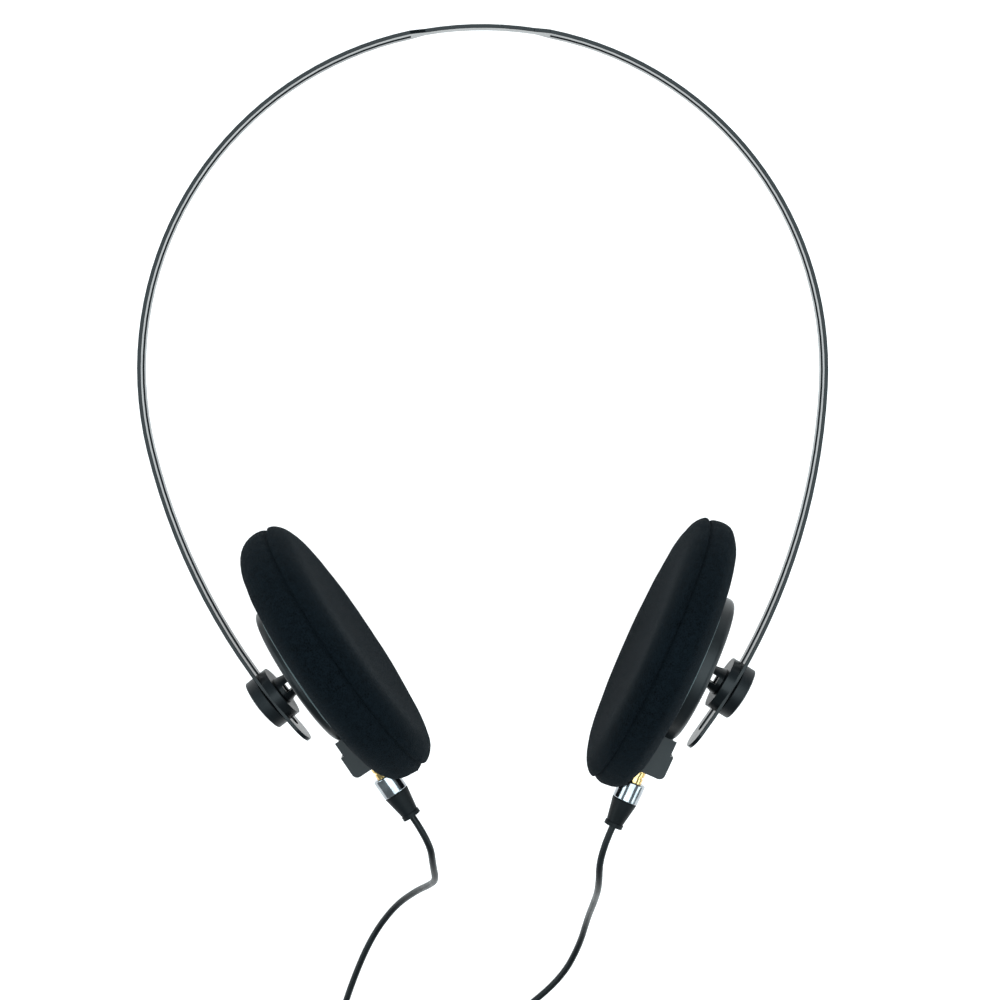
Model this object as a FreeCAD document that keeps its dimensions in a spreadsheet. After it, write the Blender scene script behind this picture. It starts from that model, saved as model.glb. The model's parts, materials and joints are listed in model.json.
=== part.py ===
import FreeCAD, Part
import math
import os
import Sketcher

# Stereo radio headphones: a slotted spring headband, two foam-covered earpieces on
# ball joints that slide along the band, and a detachable lead with a plug in each cup.
# All lengths are in millimetres and all angles in degrees.

DEGREES = 180 / math.pi

doc = FreeCAD.newDocument("radio_headphones")
sheet = doc.addObject("Spreadsheet::Sheet", "sizes")

driving = {
    # headband strip: a round top arc, then a flatter arc down each leg. The strip lies
    # a little further round to the right, so its bridge is off the middle of the arch.
    "band_radius": 72.2,
    "leg_radius": 134.6,
    "leg_start": 97.8,
    "leg_tip": 130.6,
    "band_shift": 6,
    "band_thickness": 0.8,
    "band_width": 8.4,
    "slot_width": 2.8,
    "slot_tip_gap": 4.2,
    "bridge_half": 14.5,
    "bridge_width": 4.4,
    "bridge_taper": 3.2,
    # slider clip, measured outward from the middle of the strip
    "clip_angle_left": 123,
    "clip_angle_right": 126.6,
    "clip_radius": 5.85,
    "knob_height": 3.2,
    "knob_edge": 2.4,
    "plate_thickness": 2,
    "slide_clearance": 0.04,
    "guide_radius": 1.25,
    "screw_radius": 0.8,
    "screw_head_radius": 1.45,
    # ball joint between clip and cup
    "post_reach": 7.4,
    "post_root_radius": 3.05,
    "neck_radius": 2.5,
    "ball_radius": 3.5,
    "ball_trim": 1.9,
    "liner_gap": 0.03,
    "liner_thickness": 0.34,
    "prong_slit": 1.7,
    # earpiece, measured back from the seam of the foam pad
    "cup_lean_left": 28.5,
    "cup_lean_right": 29.7,
    "pad_radius": 30.5,
    "pad_front": 4.2,
    "pad_back": 9,
    "pad_opening": 16.8,
    "pad_lining": 0.9,
    "flange_radius": 26.4,
    "baffle_front": 1.2,
    "baffle_thickness": 1.6,
    "flange_thickness": 1.5,
    "dome_radius": 16.3,
    "dome_back": 12.1,
    "crown_back": 13.4,
    "dome_wall": 1.3,
    "ball_back": 11.3,
    "boss_radius": 5.6,
    "boss_front": 9.2,
    "driver_radius": 14.4,
    "magnet_radius": 5.6,
    "yoke_radius": 7.9,
    "screw_circle": 21.5,
    # jack block and its plug, measured down the cup from its middle
    "jack_start": 16,
    "jack_end": 24.4,
    "jack_half_width": 4.8,
    "jack_back": 13.4,
    "plug_back": 8.4,
    "plug_shoulder": 27.5,
    "pin_radius": 1.75,
    "pin_length": 14,
    "barrel_radius": 2.8,
    "barrel_length": 4.6,
    "boot_length": 6,
    # lead
    "branch_radius": 0.75,
    "lead_radius": 1,
    "branch_coil_radius": 8.5,
    "branch_coil_width": 4.8,
    "branch_coil_top": 3.5,
    "lead_coil_radius": 11.5,
    "lead_coil_width": 8.2,
    "lead_coil_top": 7.6,
    "tie_thickness": 0.3,
    "splitter_length": 18,
    "splitter_width": 7,
    "splitter_narrow": 4.4,
    "splitter_height": 4.4,
}
for row, (alias, number) in enumerate(driving.items(), start=1):
    sheet.set(f"A{row}", alias)
    sheet.set(f"B{row}", str(number))
    sheet.setAlias(f"B{row}", alias)
doc.recompute()


class Size:
    """A number together with the spreadsheet formula that it comes from."""

    def __init__(self, number, formula):
        self.number = float(number)
        self.formula = formula

    @staticmethod
    def of(value):
        return value if isinstance(value, Size) else Size(value, repr(float(value)))

    def joined(self, other, sign, number):
        return Size(number, f"({self.formula} {sign} {other.formula})")

    def __add__(self, other):
        other = Size.of(other)
        return self.joined(other, "+", self.number + other.number)

    def __sub__(self, other):
        other = Size.of(other)
        return self.joined(other, "-", self.number - other.number)

    def __mul__(self, other):
        other = Size.of(other)
        return self.joined(other, "*", self.number * other.number)

    def __truediv__(self, other):
        other = Size.of(other)
        return self.joined(other, "/", self.number / other.number)

    def __neg__(self):
        return Size(-self.number, f"(0 - {self.formula})")

    def __radd__(self, other):
        return Size.of(other) + self

    def __rsub__(self, other):
        return Size.of(other) - self

    def __rmul__(self, other):
        return Size.of(other) * self

    def sine(self):
        return Size(math.sin(math.radians(self.number)), f"sin({self.formula} * 1 deg)")

    def cosine(self):
        return Size(math.cos(math.radians(self.number)), f"cos({self.formula} * 1 deg)")

    def root(self):
        return Size(math.sqrt(self.number), f"sqrt({self.formula})")


def size(alias):
    return Size(driving[alias], f"sizes.{alias}")


def number_of(value):
    return Size.of(value).number


def new_body(label):
    body = doc.addObject("PartDesign::Body", label)
    body.Label = label
    return body


def new_sketch(body, role, offset=0):
    """A sketch on one of the body's own origin planes, moved along the plane's normal."""
    sketch = body.newObject("Sketcher::SketchObject", f"{body.Name}_{role}_{len(body.Group)}")
    plane = next(item for item in body.Origin.OriginFeatures if item.Role == role)
    sketch.AttachmentSupport = [(plane, "")]
    sketch.MapMode = "FlatFace"
    sketch.AttachmentOffset = FreeCAD.Placement(
        FreeCAD.Vector(0, 0, number_of(offset)), FreeCAD.Rotation())
    if isinstance(offset, Size):
        sketch.setExpression(".AttachmentOffset.Base.z", f"{offset.formula} * 1 mm")
    return sketch


def fix(sketch, kind, *where, value):
    """Adds a constraint and ties its datum to the spreadsheet."""
    index = sketch.addConstraint(Sketcher.Constraint(kind, *where, number_of(value)))
    if isinstance(value, Size):
        sketch.setExpression(f"Constraints[{index}]", value.formula)


def fix_point(sketch, geometry, position, corner):
    for kind, axis, value in (("DistanceX", -2, corner[0]), ("DistanceY", -1, corner[1])):
        if number_of(value) == 0:
            sketch.addConstraint(Sketcher.Constraint("PointOnObject", geometry, position, axis))
        else:
            fix(sketch, kind, -1, 1, geometry, position, value=value)


def arc_between(start, end, radius):
    """The short arc from start to end, its centre on the left for a positive radius."""
    chord = end - start
    middle = (start + end) / 2
    left = FreeCAD.Vector(-chord.y, chord.x, 0) / chord.Length
    height = math.sqrt(radius * radius - chord.Length ** 2 / 4)
    centre = middle + left * math.copysign(height, radius)
    outward = (middle - centre).normalize()
    return Part.Arc(start, centre + outward * abs(radius), end)


def outline(sketch, corners):
    """A closed outline. A corner's third value is the radius of the arc that ends there."""
    points = [FreeCAD.Vector(number_of(corner[0]), number_of(corner[1]), 0) for corner in corners]
    ends = []
    for index, corner in enumerate(corners):
        start, end = points[index - 1], points[index]
        if len(corner) == 2:
            side = Part.LineSegment(start, end)
        else:
            side = arc_between(start, end, number_of(corner[2]))
        geometry = sketch.addGeometry(side, False)
        first_is_start = sketch.getPoint(geometry, 1).distanceToPoint(start) < 1e-6
        ends.append((geometry, 1 if first_is_start else 2, 2 if first_is_start else 1))
    for index, (geometry, start_at, end_at) in enumerate(ends):
        following, next_start, _ = ends[(index + 1) % len(ends)]
        sketch.addConstraint(Sketcher.Constraint("Coincident", geometry, end_at, following, next_start))
        fix_point(sketch, geometry, end_at, corners[index])
        if len(corners[index]) == 3:
            radius = corners[index][2]
            fix(sketch, "Radius", geometry, value=radius if number_of(radius) > 0 else -Size.of(radius))


def rectangle(sketch, left, bottom, right, top):
    outline(sketch, [(left, bottom), (right, bottom), (right, top), (left, top)])


def circle(sketch, radius, centre=(0, 0)):
    middle = FreeCAD.Vector(number_of(centre[0]), number_of(centre[1]), 0)
    geometry = sketch.addGeometry(
        Part.Circle(middle, FreeCAD.Vector(0, 0, 1), number_of(radius)), False)
    fix_point(sketch, geometry, 3, centre)
    fix(sketch, "Radius", geometry, value=radius)


def feature(body, kind, sketch, **settings):
    """Adds a PartDesign feature made from one sketch and makes it the body's tip."""
    made = body.newObject(f"PartDesign::{kind}", f"{body.Name}_{kind}_{len(body.Group)}")
    made.Profile = sketch
    for name, value in settings.items():
        setattr(made, name, number_of(value) if isinstance(value, Size) else value)
        if isinstance(value, Size):
            made.setExpression(name, value.formula)
    sketch.Visibility = False
    body.Tip = made
    return made


def revolve(body, corners, kind="Revolution"):
    """Turns an outline of (radius, height) corners round the body's Z axis."""
    sketch = new_sketch(body, "XZ_Plane")
    outline(sketch, corners)
    return feature(body, kind, sketch, ReferenceAxis=(sketch, ["V_Axis"]), Angle=360.0)


def pad(body, role, draw, length, offset=0, both_ways=False):
    sketch = new_sketch(body, role, offset)
    draw(sketch)
    return feature(body, "Pad", sketch, Length=length, Midplane=both_ways)


def cut(body, role, draw, length, offset=0, both_ways=False, backwards=False):
    """A pocket. The solid that it leaves must be smaller than before."""
    doc.recompute()
    before = body.Shape.Volume
    sketch = new_sketch(body, role, offset)
    draw(sketch)
    made = feature(body, "Pocket", sketch, Length=length, Midplane=both_ways, Reversed=backwards)
    doc.recompute()
    assert body.Shape.Volume < before - 1e-6, f"a pocket of {body.Label} cuts nothing"
    return made


def ring_of(body, made, count):
    """Repeats a feature round the body's Z axis."""
    pattern = body.newObject("PartDesign::PolarPattern", f"{body.Name}_pattern_{len(body.Group)}")
    pattern.Originals = [made]
    axis = next(item for item in body.Origin.OriginFeatures if item.Role == "Z_Axis")
    pattern.Axis = (axis, [""])
    pattern.Angle = 360
    pattern.Occurrences = count
    body.Tip = pattern
    return pattern


def soften(body, radius, chosen, kind="Fillet"):
    """Rounds or bevels the edges for which chosen(edge) is true."""
    doc.recompute()
    base = body.Tip
    names = [f"Edge{index + 1}" for index, edge in enumerate(base.Shape.Edges)
             if not edge.Degenerated and chosen(edge)]
    assert names, f"no edges to soften on {body.Label}"
    made = body.newObject(f"PartDesign::{kind}", f"{body.Name}_{kind}_{len(body.Group)}")
    made.Base = (base, names)
    setattr(made, "Radius" if kind == "Fillet" else "Size", number_of(radius))
    if isinstance(radius, Size):
        made.setExpression("Radius" if kind == "Fillet" else "Size", radius.formula)
    body.Tip = made
    return made


# ---------------------------------------------------------------- headband

def band_corner(side, radius_change, angle):
    """A point of the leg arc, side -1 for left and 1 for right."""
    start = size("leg_start")
    shift = size("band_radius") - size("leg_radius")
    reach = size("leg_radius") + radius_change
    along = shift * start.sine() + reach * angle.sine()
    up = shift * start.cosine() + reach * angle.cosine()
    return (along * side, up)


def tip_angle(side):
    """Where a leg ends: the strip's shift makes the right leg longer than the left."""
    return size("leg_tip") + size("band_shift") / size("leg_radius") * (side * DEGREES)


def strip_outline(sketch, outer, inner):
    """The strip seen from the front: outer and inner faces offset from its outer face."""
    start = size("leg_start")
    top = size("band_radius")
    leg = size("leg_radius")
    corners = [
        band_corner(-1, outer, tip_angle(-1)) + (leg + outer,),
        band_corner(-1, inner, tip_angle(-1)),
        band_corner(-1, inner, start) + (-(leg + inner),),
        (0, top + inner, -(top + inner)),
        band_corner(1, inner, start) + (-(top + inner),),
        band_corner(1, inner, tip_angle(1)) + (-(leg + inner),),
        band_corner(1, outer, tip_angle(1)),
        band_corner(1, outer, start) + (leg + outer,),
        (0, top + outer, top + outer),
        band_corner(-1, outer, start) + (top + outer,),
    ]
    outline(sketch, corners)


def slot_outline(side):
    """One slot, from the bridge at the top almost to the rounded tip of the leg."""
    top = size("band_radius")
    leg = size("leg_radius")
    start = size("leg_start")
    tip = tip_angle(side) - size("slot_tip_gap") / leg * DEGREES
    bridge = size("bridge_half") + size("band_shift") * side
    depth = 3

    def draw(sketch):
        height = (top * top - bridge * bridge).root()
        lower = ((top - depth) * (top - depth) - bridge * bridge).root()
        higher = ((top + depth) * (top + depth) - bridge * bridge).root()
        assert lower.number < height.number < higher.number
        outline(sketch, [
            (bridge * side, higher),
            band_corner(side, depth, start) + ((top + depth) * -side,),
            band_corner(side, depth, tip) + ((leg + depth) * -side,),
            band_corner(side, -depth, tip),
            band_corner(side, -depth, start) + ((leg - depth) * side,),
            (bridge * side, lower, (top - depth) * side),
        ])
    return draw


def make_headband():
    body = new_body("headband")
    width = size("band_width")
    pad(body, "XY_Plane",
        lambda sketch: strip_outline(sketch, 0, -size("band_thickness")),
        width, both_ways=True)
    half = width / 2
    waist = size("bridge_width") / 2
    middle = size("band_shift")
    left, right = middle - size("bridge_half"), middle + size("bridge_half")
    taper = size("bridge_taper")
    for side in (-1, 1):
        cut(body, "XZ_Plane", lambda sketch: outline(sketch, [
            (left, half * (1.2 * side)), (left, half * side),
            (left + taper, waist * side), (right - taper, waist * side),
            (right, half * side), (right, half * (1.2 * side)),
        ]), size("band_radius") * 1.1)
    for side in (-1, 1):
        cut(body, "XY_Plane", slot_outline(side), size("slot_width"), both_ways=True)
    soften(body, half * 0.94, lambda edge: is_tip_corner(edge, half))
    soften(body, size("slot_width") * 0.47,
           lambda edge: edge.Curve.TypeId == "Part::GeomLine"
           and abs(edge.BoundBox.ZLength) < 1e-6
           and abs(abs(edge.CenterOfMass.z) - driving["slot_width"] / 2) < 1e-3
           and edge.CenterOfMass.y < 0)
    return body


def is_tip_corner(edge, half):
    """The short edges across the strip's thickness at its two tips."""
    middle = edge.CenterOfMass
    return (edge.Length < 1.05 * driving["band_thickness"] and middle.y < 0
            and abs(abs(middle.z) - half.number) < 1e-3)


# ---------------------------------------------------------------- slider clip and ball joint
# Local frame: Z points away from the head, X crosses the strip, the strip's middle is at Z = 0.

def cut_to_strip(body, radius, far):
    """Shapes a disc's flat face to the curve of the strip that it slides along."""
    middle = size("leg_radius") - size("band_thickness") / 2
    reach = 8
    edge = (radius * radius - reach * reach).root() - middle
    cut(body, "YZ_Plane", lambda sketch: outline(sketch, [
        (reach, edge, -radius), (reach, far), (-reach, far), (-reach, edge),
    ]), 2 * size("clip_radius") + 2, both_ways=True)


def make_knob(label):
    body = new_body(label)
    face = size("band_thickness") / 2 + size("slide_clearance")
    radius = size("clip_radius")
    top = face + size("knob_height")
    rise = size("knob_height") - size("knob_edge")
    dome = (radius * radius + rise * rise) / (2 * rise)
    revolve(body, [(0, face - 0.4), (radius, face - 0.4), (radius, top - rise), (0, top, dome)])
    cut_to_strip(body, size("leg_radius") + size("slide_clearance"), -3)
    screw_depth = size("knob_height") - 0.8
    cut(body, "XY_Plane", lambda sketch: circle(sketch, size("screw_radius")),
        face + screw_depth, backwards=True)
    soften(body, 0.35, lambda edge: is_ring(edge, radius, top - rise))
    return body


def is_ring(edge, radius, height):
    """A full circle round the body's Z axis."""
    return (edge.Curve.TypeId == "Part::GeomCircle" and edge.isClosed()
            and abs(edge.Curve.Radius - number_of(radius)) < 1e-3
            and abs(edge.Curve.Center.z - number_of(height)) < 1e-3)


def make_slider_post(label):
    """The inner disc with its split post, whose end is the ball of the ball joint."""
    body = new_body(label)
    face = -(size("band_thickness") / 2 + size("slide_clearance"))
    back = face - size("plate_thickness")
    ball = size("ball_radius")
    neck = size("neck_radius")
    neck_height = (ball * ball - neck * neck).root() - size("post_reach")
    end = -size("post_reach") - size("ball_trim")
    end_radius = (ball * ball - size("ball_trim") * size("ball_trim")).root()
    bore = size("screw_head_radius") + 0.1
    hole = size("screw_radius") + 0.05
    seat = face - size("plate_thickness") / 2
    revolve(body, [
        (hole, face + 0.3), (size("clip_radius"), face + 0.3), (size("clip_radius"), back),
        (size("post_root_radius"), back), (neck, neck_height), (end_radius, end, -ball),
        (bore, end), (bore, seat), (hole, seat),
    ])
    cut_to_strip(body, size("leg_radius") - size("band_thickness") - size("slide_clearance"), 3)
    pad(body, "XY_Plane", lambda sketch: ring(sketch, size("guide_radius"), hole),
        size("band_thickness") + size("slide_clearance"), offset=face - 0.05)
    slit = size("prong_slit") / 2
    slit_length = size("ball_radius") + 1
    for across, along in ((slit_length, slit), (slit, slit_length)):
        cut(body, "XY_Plane", lambda sketch: rectangle(sketch, -across, -along, across, along),
            back - 0.9 - end, offset=end, backwards=True)
    return body


def ring(sketch, outer, inner):
    circle(sketch, outer)
    circle(sketch, inner)


def make_clip_screw(label):
    body = new_body(label)
    face = size("band_thickness") / 2 + size("slide_clearance")
    seat = -face - size("plate_thickness") / 2
    head = size("screw_head_radius")
    shank = size("screw_radius")
    end = face + size("knob_height") - 0.9
    revolve(body, [(0, seat - 1.1), (head, seat - 1.1), (head, seat), (shank, seat),
                   (shank, end), (0, end)])
    cut(body, "XY_Plane", lambda sketch: rectangle(sketch, -head * 0.7, -0.2, head * 0.7, 0.2),
        0.5, offset=seat - 1.1, backwards=True)
    return body


def make_ball_liner(label):
    """A thin nylon ring between ball and socket. It gives the joint its even friction."""
    body = new_body(label)
    inner = size("ball_radius") + size("liner_gap")
    outer = inner + size("liner_thickness")
    half = size("ball_trim") - 0.25
    inner_end = (inner * inner - half * half).root()
    outer_end = (outer * outer - half * half).root()
    revolve(body, [
        (inner_end, half), (inner_end, -half, -inner), (outer_end, -half), (outer_end, half, outer),
    ])
    return body


# ---------------------------------------------------------------- earpiece
# Local frame: Z points away from the ear with the seam of the pad at Z = 0, -Y points to the plug.

def make_foam_pad(label):
    """A plain closed solid for the soft cover, with a relief where the plug passes."""
    body = new_body(label)
    radius = size("pad_radius")
    front = -size("pad_front")
    back = size("pad_back")
    lining = size("pad_lining")
    pocket_back = flange_back() + 0.6
    pocket_radius = size("flange_radius") + 0.4
    revolve(body, [
        (0, lining), (0, front), (radius - 8.5, front + 0.2, 120), (radius, 0, 8.6),
        (radius - 5.5, back, 9), (size("pad_opening"), back), (size("pad_opening"), pocket_back),
        (pocket_radius, pocket_back), (pocket_radius, lining),
    ])
    half = size("jack_half_width") + 0.5
    cut(body, "XY_Plane", lambda sketch: rectangle(sketch, -half, -radius - 2, half, -14),
        8, offset=pocket_back - 0.1, backwards=True)
    return body


def flange_front():
    return size("baffle_front") + size("baffle_thickness")


def flange_back():
    return flange_front() + size("flange_thickness")


def grille_recess():
    return size("driver_radius") - 0.5


def make_baffle(label):
    body = new_body(label)
    front = size("baffle_front")
    back = flange_front()
    mouth = size("driver_radius") - 1.8
    step = front + 0.6
    revolve(body, [
        (grille_recess(), front), (size("flange_radius"), front), (size("flange_radius"), back),
        (mouth, back), (mouth, step), (grille_recess(), step),
    ])
    hole = cut(body, "XY_Plane",
               lambda sketch: circle(sketch, size("screw_radius"), (0, size("screw_circle"))),
               size("baffle_thickness") * 0.6, offset=back)
    ring_of(body, hole, 3)
    return body


def make_grille(label):
    body = new_body(label)
    front = size("baffle_front")
    pad(body, "XY_Plane", lambda sketch: circle(sketch, grille_recess() - 0.05), 0.35, offset=front)
    cut(body, "XY_Plane", lambda sketch: circle(sketch, 0.8), 2, both_ways=True, offset=front)
    for distance, count in ((3, 6), (6, 12), (9, 18), (11.6, 24)):
        hole = cut(body, "XY_Plane", lambda sketch: circle(sketch, 0.8, (0, distance)),
                   2, both_ways=True, offset=front)
        ring_of(body, hole, count)
    return body


def make_damping_cloth(label):
    body = new_body(label)
    pad(body, "XY_Plane", lambda sketch: circle(sketch, grille_recess() - 0.1),
        0.22, offset=size("baffle_front") + 0.36)
    return body


def make_diaphragm(label):
    body = new_body(label)
    film = 0.1
    low = flange_front()
    rim = size("driver_radius") - 0.2
    roll = size("driver_radius") - 1.9
    coil = size("magnet_radius") + 0.8
    crown = size("magnet_radius") * 0.25
    revolve(body, [
        (0, low - 0.6), (crown, low - 0.6), (coil, low + 0.6), (roll, low), (rim, low),
        (rim, low + film), (roll, low + film), (coil, low + 0.6 + film),
        (crown, low - 0.6 + film), (0, low - 0.6 + film),
    ])
    return body


def make_voice_coil(label):
    body = new_body(label)
    inner = size("magnet_radius") + 0.5
    low = flange_front() + 0.75
    pad(body, "XY_Plane", lambda sketch: ring(sketch, inner + 0.5, inner), 2.3, offset=low)
    return body


def make_driver_frame(label):
    body = new_body(label)
    low = flange_front() + 0.12
    floor = low + 1.5
    outer = size("driver_radius")
    revolve(body, [
        (outer - 1.5, low), (outer, low), (outer, floor + 0.8), (size("yoke_radius"), floor + 0.8),
        (size("yoke_radius"), floor), (outer - 1.5, floor),
    ])
    vent = cut(body, "XY_Plane", lambda sketch: circle(sketch, 0.9, (0, 10.4)),
               4, offset=floor, both_ways=True)
    ring_of(body, vent, 8)
    return body


def magnet_front():
    return flange_front() + 2.2


def yoke_back():
    return size("boss_front") - 0.9


def make_pole_plate(label):
    body = new_body(label)
    pad(body, "XY_Plane", lambda sketch: circle(sketch, size("magnet_radius") + 0.1),
        0.9, offset=magnet_front() - 0.9)
    return body


def make_magnet(label):
    body = new_body(label)
    pad(body, "XY_Plane", lambda sketch: circle(sketch, size("magnet_radius")),
        yoke_back() - 1.2 - magnet_front(), offset=magnet_front())
    return body


def make_yoke(label):
    body = new_body(label)
    outer = size("yoke_radius")
    low = flange_front() + 1.5
    revolve(body, [
        (0, yoke_back()), (0, yoke_back() - 1.2), (outer - 0.9, yoke_back() - 1.2),
        (outer - 0.9, low), (outer, low), (outer, yoke_back() - 0.4), (outer - 0.4, yoke_back()),
    ])
    return body


def make_driver_cushion(label):
    """A soft ring that presses the driver forward from the socket boss."""
    body = new_body(label)
    pad(body, "XY_Plane", lambda sketch: ring(sketch, size("boss_radius") - 0.2, 3.7),
        size("boss_front") - yoke_back(), offset=yoke_back())
    return body


def make_rear_housing(label):
    body = new_body(label)
    front, back = flange_front(), flange_back()
    dome = size("dome_radius")
    inner = dome - size("dome_wall")
    seat = size("ball_radius") + size("liner_gap") * 2 + size("liner_thickness")
    rise = size("crown_back") - size("ball_back")
    mouth = (seat * seat - rise * rise).root()
    drop = size("ball_back") - size("boss_front")
    seat_end = (seat * seat - drop * drop).root()
    ceiling = size("dome_back") - size("dome_wall")
    edge = 1.2
    revolve(body, [
        (inner, front), (size("flange_radius"), front), (size("flange_radius"), back),
        (dome, back), (dome, size("dome_back") - edge), (dome - edge, size("dome_back"), edge),
        (mouth, size("crown_back"), 170), (seat_end, size("boss_front"), -seat),
        (size("boss_radius"), size("boss_front")), (size("boss_radius"), ceiling), (inner, ceiling),
    ])
    cut(body, "XZ_Plane", lambda sketch: circle(sketch, size("pin_radius") + 0.4,
                                                (0, size("plug_back"))),
        dome + 1, backwards=True)
    hole = cut(body, "XY_Plane",
               lambda sketch: circle(sketch, size("screw_radius") + 0.05, (0, size("screw_circle"))),
               5, offset=back, both_ways=True)
    ring_of(body, hole, 3)
    return body


def make_housing_screws(label):
    body = new_body(label)
    seat = flange_back()
    shank = size("baffle_thickness") * 0.55 + size("flange_thickness")
    circle_radius = size("screw_circle")
    head = pad(body, "XY_Plane", lambda sketch: circle(sketch, 1.5, (0, circle_radius)),
               0.5, offset=seat)
    stem = pad(body, "XY_Plane",
               lambda sketch: circle(sketch, size("screw_radius"), (0, circle_radius)),
               shank + 0.1, offset=seat - shank)
    pattern = ring_of(body, head, 3)
    pattern.Originals = [head, stem]
    return body


def make_jack_block(label):
    body = new_body(label)
    base = flange_back()
    start, end, back = size("jack_start"), size("jack_end"), size("jack_back")
    step = start + 2.9
    width = 2 * size("jack_half_width")
    pad(body, "YZ_Plane", lambda sketch: outline(sketch, [
        (1 - start, base), (1 - start, back - 0.7), (-step, back - 0.7), (-step, back),
        (-end, back), (-end, base),
    ]), width, both_ways=True)
    cut(body, "XY_Plane", lambda sketch: circle(sketch, size("dome_radius") + 0.02), 60, both_ways=True)
    axis = (0, size("plug_back"))
    cut(body, "XZ_Plane", lambda sketch: circle(sketch, size("pin_radius") + 0.1, axis), end + 1,
        backwards=True)
    cut(body, "XZ_Plane", lambda sketch: circle(sketch, 2.5, axis), 2.5, offset=end)
    cut(body, "XZ_Plane", lambda sketch: rectangle(
        sketch, -3, size("plug_back") - 2.3, 3, size("plug_back") + 2.3), end - 3, backwards=True)
    soften(body, 1.3, lambda edge: abs(edge.CenterOfMass.y + driving["jack_end"]) < 0.01
           and abs(edge.CenterOfMass.z - back.number) < 0.01)
    return body


def make_jack_bushing(label):
    """Metal mouth of the jack, in the plug's own frame."""
    body = new_body(label)
    mouth = size("jack_end") - size("plug_shoulder")
    pad(body, "XY_Plane", lambda sketch: ring(sketch, 2.48, size("pin_radius") + 0.04),
        2.4, offset=mouth - 2.45)
    return body


def make_jack_contacts(label):
    """Two leaf springs that press on the plug's tip and ring."""
    body = new_body(label)
    root = size("jack_start") + 0.8
    free = size("jack_end") - 3.2
    wall = 2.95
    touch = size("pin_radius") + 0.12
    for side in (-1, 1):
        pad(body, "XY_Plane", lambda sketch: outline(sketch, [
            (wall * side, -root), (touch * side, -root), (touch * side, -free),
            ((touch + 0.25) * side, -free), ((touch + 0.25) * side, -(root + 0.25)),
            (wall * side, -(root + 0.25)),
        ]), 1.2, offset=size("plug_back"), both_ways=True)
    return body


# ---------------------------------------------------------------- plugs
# Local frame: Z runs from the shoulder of the pin towards the cord.

def make_pin(label):
    body = new_body(label)
    radius = size("pin_radius")
    tip = -size("pin_length")
    neck = 1.2
    band = 0.25
    corners = [(0, 2), (0, tip), (0.7, tip), (radius, tip + 1.3), (neck, tip + 2.5),
               (radius, tip + 3), (radius, tip + 3.2)]
    for groove in (tip + 3.7, tip + 7.2, -2.7, -1.3):
        corners += [(radius, groove - band), (radius - band, groove - band),
                    (radius - band, groove + band), (radius, groove + band)]
    revolve(body, corners + [(radius, 2)])
    return body


def make_barrel(label):
    body = new_body(label)
    outer = size("barrel_radius")
    length = size("barrel_length")
    bevel = 0.25
    revolve(body, [
        (size("pin_radius"), 0), (outer - bevel, 0), (outer, bevel), (outer, length - bevel),
        (outer - bevel, length), (1.9, length), (1.9, 2), (size("pin_radius"), 2),
    ])
    return body


def make_boot(label):
    body = new_body(label)
    start = size("barrel_length")
    end = start + size("boot_length")
    waist = 1.85
    lip = 0.2
    revolve(body, [
        (0, start - 1.6), (1.9, start - 1.6), (1.9, start), (size("barrel_radius") - 0.05, start),
        (waist, end - 0.9), (waist + lip, end - 0.9), (waist + lip, end), (0, end),
    ])
    return body


# ---------------------------------------------------------------- where everything goes

def turned_frame(side, lean, origin):
    """A frame whose Z leans down and outward by the given angle, on the left or right side."""
    sine, cosine = math.sin(math.radians(lean)), math.cos(math.radians(lean))
    across = FreeCAD.Vector(0, 0, -side)
    up = FreeCAD.Vector(side * sine, cosine, 0)
    outward = FreeCAD.Vector(side * cosine, -sine, 0)
    return FreeCAD.Placement(origin, FreeCAD.Rotation(across, up, outward, "ZYX"))


def clip_frame(side):
    angle = size("clip_angle_left" if side < 0 else "clip_angle_right")
    x, y = band_corner(side, -size("band_thickness") / 2, angle)
    return turned_frame(side, angle.number - 90, FreeCAD.Vector(x.number, y.number, 0))


def ball_centre(side):
    return clip_frame(side).multVec(FreeCAD.Vector(0, 0, -driving["post_reach"]))


def cup_frame(side):
    lean = driving["cup_lean_left"] if side < 0 else driving["cup_lean_right"]
    cup = turned_frame(side, lean, ball_centre(side))
    return cup * FreeCAD.Placement(FreeCAD.Vector(0, 0, -driving["ball_back"]), FreeCAD.Rotation())


def lowest(body, frame):
    shape = body.Shape.copy()
    shape.Placement = frame * body.Placement
    return shape.optimalBoundingBox(False).ZMin


def resting_frame(band, pads):
    """Lays the headset down on the rims of both pads and the top of the band."""
    reach = driving["band_radius"] - pads[0].Placement.Base.y
    tilt = 0
    for _ in range(6):
        turn = FreeCAD.Rotation(FreeCAD.Vector(1, 0, 0), -math.degrees(tilt))
        frame = FreeCAD.Placement(FreeCAD.Vector(), turn)
        floor = min(lowest(pad_body, frame) for pad_body in pads)
        tilt += math.atan((lowest(band, frame) - floor) / reach)
    return frame


placed = []


def place(body, placement):
    body.Placement = placement
    placed.append(body)


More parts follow.
